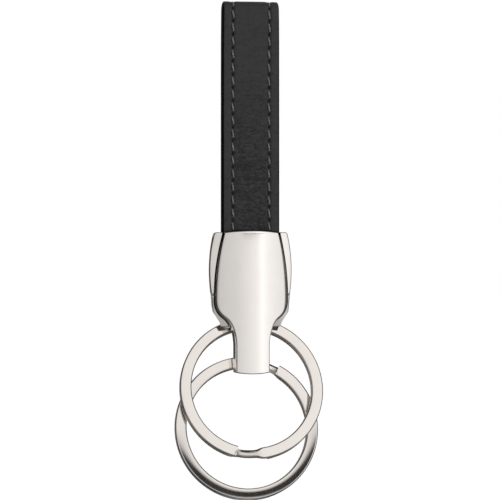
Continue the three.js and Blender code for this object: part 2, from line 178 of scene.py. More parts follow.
# rings
RING_OUTER = 15
RING_INNER = 12.6
RING_MIDDLE = (RING_OUTER + RING_INNER) / 2
COIL_THICKNESS = 0.97
COIL_PITCH = 1.03
WIRE_BEVEL = 0.28
WIRE_SOFTENING = 0.05  # rounding of each bevel's own edges
SWING_CLEARANCE = 0.1
SWEEP_REACH = 11  # to each side of a ring's top
RING_SEGMENTS = 330
JOGGLE = math.radians(21)  # turn over which the wire changes coil
JOGGLE_DELAY = 0.03  # turn, in radians, by which the crossing starts after the narrowing
JOGGLE_NARROWING = 0.3  # share of the wire's width lost in the joggle
# how much further the bevels reach in the joggle, radially and axially
JOGGLE_OUTER_BEVEL = (0.2, 0.14)
JOGGLE_INNER_BEVEL = (0.36, 0.1)
FUNNEL = math.radians(8)  # turn over which the wire narrows into the joggle
END_GAP = math.radians(2.5)
# turn of each ring in its own plane, which puts its joggle where the photograph has it
FRONT_RING_TURN = math.radians(2.5)
REAR_RING_TURN = math.radians(196.7)


# ---------- meshes ----------
def add_piece(name, points, faces):
    """A closed mesh with its faces pointing out, from points in millimetres."""
    mesh = bpy.data.meshes.new(name)
    mesh.from_pydata([tuple(p) for p in np.asarray(points, float) * MM], [], faces)
    shaped = bmesh.new()
    shaped.from_mesh(mesh)
    bmesh.ops.recalc_face_normals(shaped, faces=shaped.faces)
    shaped.to_mesh(mesh)
    shaped.free()
    piece = bpy.data.objects.new(name, mesh)
    bpy.context.scene.collection.objects.link(piece)
    return piece


def ring_faces(rings, count):
    """Quads that join each closed ring of count points to the next."""
    faces = []
    for i in range(rings - 1):
        here, beyond = i * count, (i + 1) * count
        for k in range(count):
            after = (k + 1) % count
            faces.append((here + k, here + after, beyond + after, beyond + k))
    return faces


def end_faces(rings, count):
    """One face over the first ring of points and one over the last."""
    last = (rings - 1) * count
    return [tuple(range(count)), tuple(last + k for k in range(count))]


def apply_modifiers(piece):
    """Makes what the modifiers show the piece's own mesh."""
    depsgraph = bpy.context.evaluated_depsgraph_get()
    mesh = bpy.data.meshes.new_from_object(piece.evaluated_get(depsgraph))
    plain = piece.data
    piece.modifiers.clear()
    piece.data = mesh
    bpy.data.meshes.remove(plain)


def cut(piece, cutters):
    """Takes the cutters away from the piece, and deletes them."""
    for cutter in cutters:
        modifier = piece.modifiers.new("cut", "BOOLEAN")
        modifier.operation = "DIFFERENCE"
        modifier.solver = "EXACT"
        modifier.object = cutter
    apply_modifiers(piece)
    for cutter in cutters:
        bpy.data.objects.remove(cutter)


def smooth(piece, degrees=28):
    """Smooth shading that keeps the edges sharper than an angle."""
    piece.data.shade_smooth()
    piece.data.set_sharp_from_angle(angle=math.radians(degrees))
    modifier = piece.modifiers.new("weighted", "WEIGHTED_NORMAL")
    modifier.keep_sharp = True
    apply_modifiers(piece)


def finish_piece(piece, material, body, nodes):
    """Gives the piece its material, hides the CAD nodes that it stands for, and attaches it to its body if it
    has one.
    """
    piece.data.materials.clear()
    piece.data.materials.append(material)
    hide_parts(*nodes)
    if body:
        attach(piece, body)


# ---------- cutters ----------
def box_cutter(x0, x1, y0, y1, z0, z1):
    points = [(x, y, z) for x in (x0, x1) for y in (y0, y1) for z in (z0, z1)]
    faces = [(0, 1, 3, 2), (4, 6, 7, 5), (0, 4, 5, 1), (2, 3, 7, 6), (0, 2, 6, 4), (1, 5, 7, 3)]
    return add_piece("cutter", points, faces)


def turned(name, profile, x, z, sides=ROUND_SIDES):
    """A solid turned about an axis along Y, from (radius, y) pairs that start and end on the axis."""
    rim = profile[1:-1]
    angles = np.arange(sides) * 2 * math.pi / sides
    points = [(x + r * math.cos(a), y, z + r * math.sin(a)) for r, y in rim for a in angles]
    faces = ring_faces(len(rim), sides)
    first, last = len(points), len(points) + 1
    points += [(x, profile[0][1], z), (x, profile[-1][1], z)]
    faces += [(first, k, (k + 1) % sides) for k in range(sides)]
    top = (len(rim) - 1) * sides
    faces += [(last, top + (k + 1) % sides, top + k) for k in range(sides)]
    return add_piece(name, points, faces)


def hole_cutter(radius, x, z, y0, y1, sides=ROUND_SIDES):
    return turned("cutter", [(0, y0), (radius, y0), (radius, y1), (0, y1)], x, z, sides)


def sweep_cutter(axis):
    """Everything that a split ring sweeps as it swings about the X axis through its top."""
    half_thickness = (COIL_PITCH + COIL_THICKNESS) / 2
    xs = np.linspace(-SWEEP_REACH, SWEEP_REACH, 41)
    inner = RING_MIDDLE - np.sqrt(RING_INNER ** 2 - xs ** 2)
    corner = np.hypot(inner - WIRE_BEVEL, half_thickness - WIRE_BEVEL) + WIRE_BEVEL + SWING_CLEARANCE
    profile = [(0, -SWEEP_REACH), *zip(corner, xs), (0, SWEEP_REACH)]
    cutter = turned("cutter", profile, 0, 0)
    cutter.data.transform(Matrix.Rotation(math.radians(-90), 4, "Z"))
    cutter.data.transform(Matrix.Translation(axis * MM))
    return cutter


# ---------- outlines ----------
def bezier(controls, steps):
    """Points along a Bezier curve with any number of control points."""
    t = np.linspace(0, 1, steps + 1)[:, None]
    layers = [np.array(c, float) + 0 * t for c in controls]
    while len(layers) > 1:
        layers = [a + (b - a) * t for a, b in zip(layers, layers[1:])]
    return layers[0]


def edge_line(curves, steps):
    """One line through a list of Bezier curves that join end to end."""
    parts = [bezier(c, steps) for c in curves]
    return np.concatenate([parts[0]] + [p[1:] for p in parts[1:]])


def bottle_edge(neck, bottom):
    """The right-hand edge of a bottle-shaped plate, from top to bottom, in X and Z."""
    return [
        [(TOP_HALF_WIDTH, BODY_TOP), (6.8, -52.2), (7.55, -57), (7.55, BELLY_Z)],
        [(7.55, BELLY_Z), (7.55, -64), (6.8, -65.1), (5.5, -66)],
        [(5.5, -66), (4.65, -66.7), (neck + 0.15, -68.3), (neck, -71.5)],
        [(neck, -71.5), (neck, bottom)],
    ]


# the right-hand edges of the strap frame and of the shoulder block, from top to bottom, in X and Z
BODY_EDGE = [
    [(7.1, BODY_TOP), (7.75, BODY_TOP), (7.85, -49)],
    [(7.85, -49), (8.85, -53), (8.85, -57.5), (8.25, PARTING_Z)],
]
BLOCK_EDGE = [
    [(8.25, PARTING_Z), (8.1, -63), (8, -64.6), (7.8, -66)],
    [(7.8, -66), (7.55, -67.6), (6.2, SHOULDER_BOTTOM)],
]


def inward_normals(outline):
    """A step inwards by one unit at each point of a closed outline, lengthened at its corners."""
    before = np.roll(outline, 1, 0) - outline
    after = np.roll(outline, -1, 0) - outline
    before /= np.linalg.norm(before, axis=1)[:, None]
    after /= np.linalg.norm(after, axis=1)[:, None]
    tangent = after - before
    tangent /= np.linalg.norm(tangent, axis=1)[:, None]
    normal = np.stack([tangent[:, 1], -tangent[:, 0]], 1)
    sharpest = 0.75  # a sharper corner is not lengthened more than this one
    half_turn = np.clip(np.abs((normal * before).sum(1)), 0, sharpest)
    return normal / np.sqrt(1 - half_turn ** 2)[:, None]


def rounding(radius):
    """(inset, depth) pairs from the face of an edge to its wall."""
    steps = 5
    softness = 1.35  # 2 would be round, and 1 a chamfer
    angles = np.linspace(0, math.pi / 2, steps + 1)
    inset = radius * (1 - np.sin(angles) ** (2 / softness))
    depth = radius * (1 - np.cos(angles) ** (2 / softness))
    return list(zip(inset, depth))


def outline_solid(name, right, front, rear, rounded, top_arch=0.0, bottom_arch=0.0, draft=(0, 0)):
    """A solid between two surfaces y = front(x, z) and y = rear(x, z), inside a mirrored outline.

    right is its right-hand edge from top to bottom, and rounded is the edge rounding at front and rear.
    The arches are how far its top and bottom edges bow outwards. The wall slopes in by draft[0] over the
    depth draft[1] behind its front.
    """
    columns = 28
    spread = np.linspace(-1, 1, columns + 1)
    arch = 1 - spread ** 2
    left = right * [-1, 1]
    top = np.stack([right[0, 0] * spread, right[0, 1] + top_arch * arch], 1)
    bottom = np.stack([right[-1, 0] * spread, right[-1, 1] - bottom_arch * arch], 1)
    outline = np.concatenate([right, bottom[1:-1][::-1], left[::-1], top[1:-1]])
    inward = inward_normals(outline)
    rows, count = len(right), len(outline)

    def ring(inset, depth, surface, side):
        flat = outline + inward * inset
        y = surface(flat[:, 0], flat[:, 1]) - side * depth
        return np.stack([flat[:, 0], y, flat[:, 1]], 1)

    front_rings = [ring(i + draft[0], d, front, -1) for i, d in rounding(rounded[0])]
    if draft[0]:
        front_rings.append(ring(0, draft[1], front, -1))
    rear_rings = [ring(i, d, rear, 1) for i, d in rounding(rounded[1])]
    rings = front_rings + rear_rings[::-1]
    points = list(np.concatenate(rings))
    faces = ring_faces(len(rings), count)

    def cap(rim, surface, first):
        """Fills a ring with a grid of rows and columns."""
        grid = np.zeros((rows, columns + 1), int)
        grid[:, columns] = first + np.arange(rows)
        grid[-1, 1:-1] = first + rows + np.arange(columns - 1)[::-1]
        grid[:, 0] = first + rows + columns - 1 + np.arange(rows)[::-1]
        grid[0, 1:-1] = first + 2 * rows + columns - 1 + np.arange(columns - 1)
        fade = 3.0  # the arches flatten out over this length
        for i in range(1, rows - 1):
            a, b = rim[grid[i, 0] - first], rim[grid[i, columns] - first]
            high = max(0, 1 - (rim[0, 2] - a[2]) / fade) ** 2 * top_arch
            low = max(0, 1 - (a[2] - rim[rows - 1, 2]) / fade) ** 2 * bottom_arch
            for j in range(1, columns):
                x = a[0] + (b[0] - a[0]) * j / columns
                z = a[2] + (high - low) * arch[j]
                grid[i, j] = len(points)
                points.append(np.array([x, surface(x, z), z]))
        for i in range(rows - 1):
            for j in range(columns):
                faces.append((grid[i, j], grid[i, j + 1], grid[i + 1, j + 1], grid[i + 1, j]))

    cap(rings[0], front, 0)
    cap(rings[-1], rear, (len(rings) - 1) * count)
    return add_piece(name, points, faces)


def crown(top, side):
    """The crowned outer surface of a plate on side -1 (front) or +1 (rear)."""
    def surface(x, z):
        rise = np.maximum(z - BELLY_Z, 0) / (BODY_TOP - BELLY_Z)
        return side * (top - TOP_TAPER * rise * rise - CROWN_CURVATURE * x * x)
    return surface


def flat(y):
    """A flat surface at one Y."""
    return lambda x, z: 0 * x + y


def wing_face(side):
    """Slopes back from a ridge near the middle to each side."""
    slope = WING_SLOPE if side < 0 else WING_REAR_SLOPE
    return lambda x, z: side * (WING_RIDGE_HALF_THICKNESS - slope * np.maximum(abs(x) - WING_RIDGE_X, 0))


def block_face(side):
    """Carries on from the wings' face and slopes back downwards."""
    def surface(x, z):
        t = (PARTING_Z - z) / (PARTING_Z - SHOULDER_BOTTOM)
        return wing_face(side)(x, z) * (1 - t) + side * BLOCK_BOTTOM_HALF_THICKNESS * t
    return surface


# ---------- colours ----------
NICKEL_TINT = (0.84, 0.80, 0.765)
RING_TINT = (0.80, 0.75, 0.71)
STEEL_DARK = (0.46, 0.45, 0.44)
STEEL_LIGHT = (0.62, 0.61, 0.59)
LEATHER_DARK = (0.010, 0.010, 0.0105)
LEATHER_LIGHT = (0.018, 0.018, 0.0185)
LINING_DARK = (0.012, 0.012, 0.012)
LINING_LIGHT = (0.02, 0.02, 0.02)
THREAD_DARK = (0.045, 0.045, 0.045)
THREAD_GLINT = (0.2, 0.195, 0.19)
FLOOR_DARK = (0.86, 0.86, 0.86)
FLOOR_LIGHT = (0.9, 0.9, 0.9)

DYED_AND_SHADED_EDGE = (0.4, 0.2)  # the edge dye and the painted shade along the edge start this far in from the strap's edge, and are full this far in
CREASED_Z = (-38, -12)  # the leather is creased below the first height, and hardly above the second
# units to a millimetre on each axis for each set of creases: long ones across the strap, then finer ones
CREASES = [(0.22, 0.3, 0.75), (0.5, 0.4, 1.3), (0.9, 0.5, 1.1)]


# ---------- material nodes ----------
class Nodes:
    """Builds a material's nodes with short calls."""

    def __init__(self, name):
        self.material = bpy.data.materials.new(name)
        self.material.use_nodes = True
        self.tree = self.material.node_tree
        self.shader = self.tree.nodes["Principled BSDF"]
        self.place = self.add("ShaderNodeTexCoord").outputs["Object"]
        self.xyz = self.add("ShaderNodeSeparateXYZ", {"Vector": self.place}).outputs

    def add(self, kind, links=None, **values):
        node = self.tree.nodes.new(kind)
        for key, value in values.items():
            setattr(node, key, value)
        for key, value in (links or {}).items():
            self.put(node.inputs[key], value)
        return node

    def put(self, socket, value):
        if isinstance(value, bpy.types.NodeSocket):
            self.tree.links.new(value, socket)
        else:
            socket.default_value = value

    def scaled(self, x, y, z):
        """The place on the object, with this many units to a millimetre on each axis."""
        scale = (x / MM, y / MM, z / MM)
        return self.add("ShaderNodeMapping", {"Vector": self.place, "Scale": scale}).outputs["Vector"]

    def noise(self, where, detail, roughness=0.5):
        links = {"Vector": where, "Scale": 1.0, "Detail": detail, "Roughness": roughness}
        return self.add("ShaderNodeTexNoise", links).outputs["Fac"]

    def between(self, value, low, high, to_low, to_high):
        """The value taken from one range to another, and held at its ends."""
        links = {"Value": value, "From Min": low, "From Max": high, "To Min": to_low, "To Max": to_high}
        return self.add("ShaderNodeMapRange", links).outputs["Result"]

    def math(self, operation, a, b=0.0):
        return self.add("ShaderNodeMath", {0: a, 1: b}, operation=operation).outputs[0]

    def sum(self, *terms):
        total = terms[0]
        for term in terms[1:]:
            total = self.math("ADD", total, term)
        return total

    def product(self, *terms):
        total = terms[0]
        for term in terms[1:]:
            total = self.math("MULTIPLY", total, term)
        return total

    def crease(self, x, y, z):
        """1 along thin wandering lines, 0 away from them."""
        field = self.noise(self.scaled(x, y, z), detail=3, roughness=0.55)
        from_line = self.math("ABSOLUTE", self.math("SUBTRACT", field, 0.5))
        return self.between(from_line, 0.0, 0.02, 1.0, 0.0)

    def times(self, colour, share):
        links = {0: colour, "Scale": share}
        return self.add("ShaderNodeVectorMath", links, operation="SCALE").outputs[0]

    def ramp(self, value, low, high, t0=0.0, t1=1.0):
        node = self.add("ShaderNodeValToRGB", {"Fac": value})
        node.color_ramp.elements[0].position = t0
        node.color_ramp.elements[0].color = (*low, 1)
        node.color_ramp.elements[1].position = t1
        node.color_ramp.elements[1].color = (*high, 1)
        return node.outputs["Color"]

    def open_air(self, distance, alone=False):
        """How open the surface is to the air, from 0 to 1; alone counts only the piece itself."""
        links = {"Distance": distance * MM}
        node = self.add("ShaderNodeAmbientOcclusion", links, samples=8, only_local=alone)
        return node.outputs["AO"]

    def bump(self, height, distance, strength=1.0):
        links = {"Height": height, "Distance": distance * MM, "Strength": strength}
        self.put(self.shader.inputs["Normal"], self.add("ShaderNodeBump", links).outputs["Normal"])

    def set(self, **values):
        for key, value in values.items():
            self.put(self.shader.inputs[key.replace("_", " ")], value)


def nickel_material(name, tint, roughness, streaks, relief, gap, shade, alone=False):
    """Polished nickel plating: faint polishing lines, cloudy roughness, and painted shade down in gaps this
    wide.

    shade is the openness at which the painted shade is full and at which it ends.
    """
    nodes = Nodes(name)
    lines = nodes.noise(nodes.scaled(*streaks), detail=5, roughness=0.6)
    clouds = nodes.noise(nodes.scaled(0.35, 0.35, 0.35), detail=3)
    specks = nodes.noise(nodes.scaled(9, 9, 9), detail=2)
    # painted shade: the plating's colour darkens where the surface is less open, in gaps, grooves and between
    # coils
    painted_shade_factor = nodes.between(nodes.open_air(gap, alone), *shade, 0.03, 1.0)
    darker = tuple(0.975 * c for c in tint)
    plating = nodes.ramp(clouds, darker, tint, 0.35, 0.62)
    nodes.set(Base_Color=nodes.times(plating, painted_shade_factor), Metallic=1.0)
    wear_and_shade = nodes.between(nodes.sum(clouds, lines), 0.7, 1.3, roughness * 0.8, roughness * 1.25)
    nodes.set(Roughness=wear_and_shade)
    nodes.bump(nodes.sum(lines, specks), relief, 0.5)
    return nodes.material


def steel_material():
    """Turned steel with fine rings left by the tool."""
    nodes = Nodes("steel")
    grain = nodes.noise(nodes.scaled(6, 40, 6), detail=4)
    clouds = nodes.noise(nodes.scaled(1.5, 1.5, 1.5), detail=3)
    nodes.set(Base_Color=nodes.ramp(clouds, STEEL_DARK, STEEL_LIGHT), Metallic=1.0)
    nodes.set(Roughness=nodes.between(grain, 0.3, 0.7, 0.24, 0.42))
    nodes.bump(grain, 0.004, 0.6)
    return nodes.material


def leather_material(name, dark, light, sheen):
    """Pebbled leather: cells of about a third of a millimetre, pores and shallow creases across the strap.

    Its edges are black with edge dye and painted shade along them; its stitch holes and other hollows are
    darkened by painted shade, and its creases by painted shade along their lines.
    """
    nodes = Nodes(name)
    side = nodes.math("ABSOLUTE", nodes.xyz[0])
    edge_dark_from, edge_dark_full = ((STRAP_HALF_WIDTH - inset) * MM for inset in DYED_AND_SHADED_EDGE)
    # edge dye with painted shade: the strap's edges darken to near black and lose their shine and sheen
    dye_and_shade = nodes.between(side, edge_dark_from, edge_dark_full, 1.0, 0.05)
    # painted shade: the leather darkens and loses shine where it is less open, in the stitch holes and other
    # hollows
    painted_shade_factor = nodes.between(nodes.open_air(0.5), 0.6, 0.9, 0.1, 1.0)
    warp = nodes.noise(nodes.scaled(1.2, 1.2, 1.2), detail=3)
    cells = nodes.add("ShaderNodeTexVoronoi", {"Vector": nodes.scaled(2.6, 2.6, 3.6), "Scale": 1.0})
    pebbles = nodes.between(cells.outputs["Distance"], 0.0, 0.75, 1.0, 0.0)
    pores = nodes.noise(nodes.scaled(11, 11, 11), detail=3, roughness=0.65)
    swells = nodes.noise(nodes.scaled(0.35, 0.8, 1.9), detail=6, roughness=0.62)
    height = nodes.between(pores, 0.3, 0.7, 0, 0.7)
    height = nodes.sum(pebbles, height, nodes.between(swells, 0.35, 0.65, 0, 1.4))
    creased_z, smooth_z = (z * MM for z in CREASED_Z)
    bent = nodes.between(nodes.xyz[2], creased_z, smooth_z, 1.0, 0.1)
    inside = nodes.between(side, (STITCH_X - 0.8) * MM, (STITCH_X - 0.2) * MM, 1.0, 0.15)
    creases = nodes.product(bent, inside, nodes.sum(*(nodes.crease(*scales) for scales in CREASES)))
    hide = nodes.ramp(nodes.sum(warp, swells), dark, light, 0.75, 1.25)
    # painted shade along the crease lines, darkening the colour there
    wear_and_shade = nodes.between(creases, 0, 1, 1.0, 0.2)
    nodes.set(Base_Color=nodes.times(hide, nodes.product(dye_and_shade, painted_shade_factor, wear_and_shade)))
    height = nodes.sum(height, nodes.between(creases, 0, 1, 0, -3.5))
    nodes.set(Roughness=nodes.between(pebbles, 0, 1, 0.62, 0.46))
    nodes.set(Specular_IOR_Level=nodes.between(nodes.product(dye_and_shade, painted_shade_factor), 0, 1, 0.0, 0.45))
    nodes.set(Sheen_Weight=nodes.between(dye_and_shade, 0, 1, 0, sheen), Sheen_Roughness=0.5)
    nodes.bump(height, 0.035, 0.8)
    return nodes.material


def thread_material():
    """Waxed twisted thread, whose lightest fibres carry painted glints."""
    nodes = Nodes("thread")
    links = {"Vector": nodes.scaled(1, 1, 1), "Scale": 1.1, "Distortion": 0.4}
    twist = nodes.add("ShaderNodeTexWave", links, bands_direction="DIAGONAL")
    fibres = nodes.noise(nodes.scaled(9, 9, 3), detail=3)
    # the fibre tone runs from the thread's dark colour up to a light grey that is a painted glint
    nodes.set(Base_Color=nodes.ramp(fibres, THREAD_DARK, THREAD_GLINT, 0.38, 0.66))
    nodes.set(Roughness=nodes.between(fibres, 0.3, 0.7, 0.38, 0.55), Sheen_Weight=0.3)
    nodes.bump(nodes.sum(twist.outputs["Fac"], fibres), 0.05, 0.7)
    return nodes.material


def floor_material():
    """A pale floor that reads as plain paper."""
    nodes = Nodes("floor")
    fibres = nodes.noise(nodes.scaled(0.02, 0.02, 0.02), detail=3)
    nodes.set(Base_Color=nodes.ramp(fibres, FLOOR_DARK, FLOOR_LIGHT), Roughness=0.9)
    nodes.set(Emission_Color=(1, 1, 1, 1), Emission_Strength=0.6)
    return nodes.material


# gap and shade set how far the painted shade in each nickel's gaps reaches, and how dark it is
NICKEL = nickel_material("nickel", NICKEL_TINT, roughness=0.12, streaks=(6, 6, 0.5), relief=0.0012,
                         gap=0.9, shade=(0.36, 0.78))
RING_NICKEL = nickel_material("ring_nickel", RING_TINT, roughness=0.04, streaks=(3, 3, 3), relief=0.0002,
                              gap=1.2, shade=(0.5, 0.95), alone=True)
STEEL = steel_material()
LEATHER = leather_material("leather", LEATHER_DARK, LEATHER_LIGHT, sheen=0.05)
LINING = leather_material("lining", LINING_DARK, LINING_LIGHT, sheen=0.2)
THREAD = thread_material()


# ---------- strap ----------
def loop_path(depth, step=0.25):
    """The strap's line at a depth below its outer surface: up the front leg, over, and down the rear.

    Returns Y and Z of each point, the outward direction there, and the length along the outer surface.
    """
    z = np.arange(STRAP_END_Z, -LOOP_RADIUS, step)
    t = np.clip((z - LOOP_TAPER_Z) / (-LOOP_RADIUS - LOOP_TAPER_Z), 0, 1)
    half = STRAP_HALF_THICKNESS + (LOOP_RADIUS - STRAP_HALF_THICKNESS) * t * t * (3 - 2 * t)
    turn = np.linspace(math.pi, 0, 27)
    front = np.stack([-half, z], 1)
    bend = np.stack([LOOP_RADIUS * np.cos(turn), LOOP_RADIUS * (np.sin(turn) - 1)], 1)
    line = np.concatenate([front, bend, (front * [-1, 1])[::-1]])
    along = np.gradient(line, axis=0)
    along /= np.linalg.norm(along, axis=1)[:, None]
    outward = np.stack([-along[:, 1], along[:, 0]], 1)
    length = np.concatenate([[0], np.cumsum(np.linalg.norm(np.diff(line, axis=0), axis=1))])
    return line - outward * depth, outward, length


PATH, PATH_OUT, PATH_LENGTH = loop_path(0)
STRAP_LENGTH = PATH_LENGTH[-1]
PATH_TOP = STRAP_LENGTH / 2


def on_path(s):
    """The point and outward direction at length s along the strap's outer surface."""
    y, z = (np.interp(s, PATH_LENGTH, PATH[:, k]) for k in (0, 1))
    out = np.array([np.interp(s, PATH_LENGTH, PATH_OUT[:, k]) for k in (0, 1)])
    return np.array([y, z]), out / np.linalg.norm(out)


def stitch_places():
    """Lengths along the strap of each stitch's middle, evenly spaced about the top of the loop."""
    count = int(PATH_TOP / STITCH_PITCH)
    return PATH_TOP + (np.arange(-count, count) + 0.5) * STITCH_PITCH


def strap_half_width(s):
    """The loop is drawn in a little where it bends."""
    waist = 0.16
    reach = 9
    return STRAP_HALF_WIDTH - waist * math.exp(-((s - PATH_TOP) / reach) ** 2)


# relief of the outer leather; each depth fades out over the reach beside it
STITCH_GROOVE_DEPTH, STITCH_GROOVE_REACH = 0.16, 0.36
HOLE_DEPTH, HOLE_REACH_ACROSS, HOLE_REACH_ALONG = 0.42, 0.3, 0.34
PANEL_CROWN = 0.05  # the panel between the stitch rows and the bands outside them are this much crowned
BAND_MIDDLE = 4.9
BAND_HALF_WIDTH = 1.1
CREASE_DEPTH = 0.1
CREASE_SHARPNESS = 7
CREASED_HALF_WIDTH = 3.7
WAVE_DEPTH = 0.045
SURFACE_DEPTH = 0.02  # keeps the waves below the strap's outer surface


def leather_depth(x, s):
    """How far the leather's surface lies below the strap's outer surface."""
    side = abs(x)
    groove = STITCH_GROOVE_DEPTH * math.exp(-((side - STITCH_X) / STITCH_GROOVE_REACH) ** 2)
    from_hole = (s - PATH_TOP) % STITCH_PITCH
    from_hole = min(from_hole, STITCH_PITCH - from_hole)
    across, along = (side - STITCH_X) / HOLE_REACH_ACROSS, from_hole / HOLE_REACH_ALONG
    pit = HOLE_DEPTH * math.exp(-across ** 2 - along ** 2)
    panel = PANEL_CROWN * (side / STITCH_X) ** 2 if side < STITCH_X else PANEL_CROWN
    band = PANEL_CROWN * ((side - BAND_MIDDLE) / BAND_HALF_WIDTH) ** 2 if side > STITCH_X else 0
    # creases get deeper from 14 to 36 mm below the top of the loop, and shallower towards the stitches
    share = min(max((abs(s - PATH_TOP) - 14) / 22, 0.12), 1)
    warp = Vector((0, 0.5 * noise.noise(Vector((x * 0.4, s * 0.2, 9))), 0))
    fold = noise.noise(Vector((x * 0.16, s * 0.9, 3)) + warp)
    line = max(0, 1 - abs(fold) * CREASE_SHARPNESS)
    crease = CREASE_DEPTH * share * line * max(0, 1 - (side / CREASED_HALF_WIDTH) ** 4)
    wave = WAVE_DEPTH * noise.noise(Vector((x * 0.35, s * 0.3, 7)))
    return groove + pit + panel + band + crease + wave + SURFACE_DEPTH


def layer_section(half, corner, columns):
    """X across the strap, closer together towards its edges, and how far the rounded edges drop there."""
    crowding = 0.35
    even = half * np.linspace(-1, 1, columns)
    crowded = half * np.sin(np.linspace(-math.pi / 2, math.pi / 2, columns))
    across = crowded * crowding + even * (1 - crowding)
    into_corner = np.maximum(abs(across) - half + corner, 0)
    drop = corner - np.sqrt(np.maximum(corner ** 2 - into_corner ** 2, 0))
    return across, drop


def strap_layer(name, depth, thickness, corner, columns, relief):
    """One layer of leather all the way round the loop."""
    rows = []
    inner_columns = 7
    inner_picks = np.linspace(0, columns - 1, inner_columns).astype(int)
    for s, (y, z), out in zip(PATH_LENGTH, PATH, PATH_OUT):
        across, drop = layer_section(strap_half_width(s), corner, columns)
        for x, rounded in zip(across, drop):
            sunk = depth + rounded + relief(x, s)
            rows.append((x, y - out[0] * sunk, z - out[1] * sunk))
        under = depth + thickness
        for x in across[::-1][inner_picks]:
            rows.append((x, y - out[0] * under, z - out[1] * under))
    count = columns + inner_columns
    faces = ring_faces(len(PATH), count) + end_faces(len(PATH), count)
    return add_piece(name, rows, faces)


def bends_with_strap(piece, material, nodes):
    """Gives the piece its material and hides the CAD nodes that it stands for, with no body; the ends of a
    bend about the flex joint are worked out but not used.
    """
    finish_piece(piece, material, None, nodes)
    ends = [(0, FLEX.y * MM, (FLEX.z + k * BEND_LENGTH / 2) * MM) for k in (1, -1)]
    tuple(ends[0])
    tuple(ends[1])
    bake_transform(piece)


def rivet_cutters():
    low, high = box_mm("strap_rivet_right")
    radius = half_width(low, high) + FIT_GAP
    x, z = middle(low, high)
    reach = high.y + PIN_END_GAP
    return [hole_cutter(radius, side * x, z, -reach, reach) for side in (-1, 1)]


def strap_face():
    piece = strap_layer("strap_leather", 0, FACE_THICKNESS, FACE_CORNER, 64, leather_depth)
    cut(piece, rivet_cutters())
    piece.data.shade_smooth()
    nodes = ["strap_face", "strap_end_front_face", "strap_end_rear_face"]
    bends_with_strap(piece, LEATHER, nodes)


def strap_lining():
    piece = strap_layer("strap_lining_leather", LINING_DEPTH, LINING_THICKNESS, LINING_CORNER, 20,
                        lambda x, s: 0)
    cut(piece, rivet_cutters())
    piece.data.shade_smooth()
    nodes = ["strap_lining", "strap_end_front_lining", "strap_end_rear_lining"]
    bends_with_strap(piece, LINING, nodes)


THREAD_RADIUS = 0.15
THREAD_TIP_RADIUS = 0.03
THREAD_FLATNESS = 0.85
PLY_RELIEF = 0.16
PLY_TWIST = 7  # radians over half a stitch
STITCH_DEPTH = 0.1
STITCH_DIVE = 0.3  # how much deeper its ends are
STITCH_WANDER = 0.12
STITCH_LEAN = 0.15
STITCH_LEAN_SPREAD = 0.08


def stitch(points, faces, x, s, lean):
    """One visible stitch: a plump length of thread that dives into the leather at both ends."""
    steps, sides = 14, 8
    first = len(points)
    for i in range(steps + 1):
        t = 2 * i / steps - 1
        thick = THREAD_RADIUS * (1 - t ** 6) ** 0.5 + THREAD_TIP_RADIUS
        (y, z), out = on_path(s + t * STITCH_LENGTH / 2)
        sunk = STITCH_DEPTH + STITCH_DIVE * t ** 4
        for k in range(sides):
            a = 2 * math.pi * k / sides
            ply = 1 + PLY_RELIEF * math.cos(2 * a + PLY_TWIST * t)
            up = thick * THREAD_FLATNESS * ply * math.sin(a) - sunk
            points.append((x + lean * t + thick * ply * math.cos(a), y + out[0] * up, z + out[1] * up))
    local = ring_faces(steps + 1, sides) + end_faces(steps + 1, sides)
    faces += [tuple(first + v for v in face) for face in local]


def stitch_row(name, side):
    points, faces = [], []
    for i, s in enumerate(stitch_places()):
        wander = STITCH_WANDER * noise.noise(Vector((side, i * 0.9, 0)))
        lean = STITCH_LEAN + STITCH_LEAN_SPREAD * noise.noise(Vector((side, i * 1.7, 5)))
        # seen from the front, the stitches of both legs lean the same way
        if s < PATH_TOP:
            lean = -lean
        stitch(points, faces, side * STITCH_X + wander, s, lean)
    piece = add_piece(name + "_thread", points, faces)
    piece.data.shade_smooth()
    bends_with_strap(piece, THREAD, [name])


# ---------- metal body ----------
def screw_places():
    """Each cover screw's name and its box."""
    names = [f"cover_screw_{row}_{side}" for row in ("upper", "lower") for side in ("left", "right")]
    return {name: box_mm(name) for name in names}


def screw_cutters():
    """The room for each cover screw: its shank, and its head from there outwards."""
    cutters = []
    for low, high in screw_places().values():
        shank = SCREW_RADIUS + FIT_GAP
        head = half_width(low, high) + FIT_GAP
        tip = low.y - PIN_END_GAP
        floor = high.y - SCREW_HEAD_HEIGHT - FIT_GAP
        profile = [(0, tip), (shank, tip), (shank, floor), (head, floor), (head, SPAN), (0, SPAN)]
        cutters.append(turned("cutter", profile, *middle(low, high)))
    return cutters


def pocket_cutter(half_depth):
    """The room for the strap's ends."""
    return box_cutter(-POCKET_HALF_WIDTH, POCKET_HALF_WIDTH, -half_depth, half_depth,
                      POCKET_BOTTOM, OVER_TOP)


def ring_sweeps():
    return [sweep_cutter(joint_mm("front_ring_swing")), sweep_cutter(joint_mm("rear_ring_swing"))]


def bar_hole(from_y):
    low, high = box_mm("ring_bar")
    return hole_cutter(half_width(low, high) + FIT_GAP, *middle(low, high), from_y, SPAN)


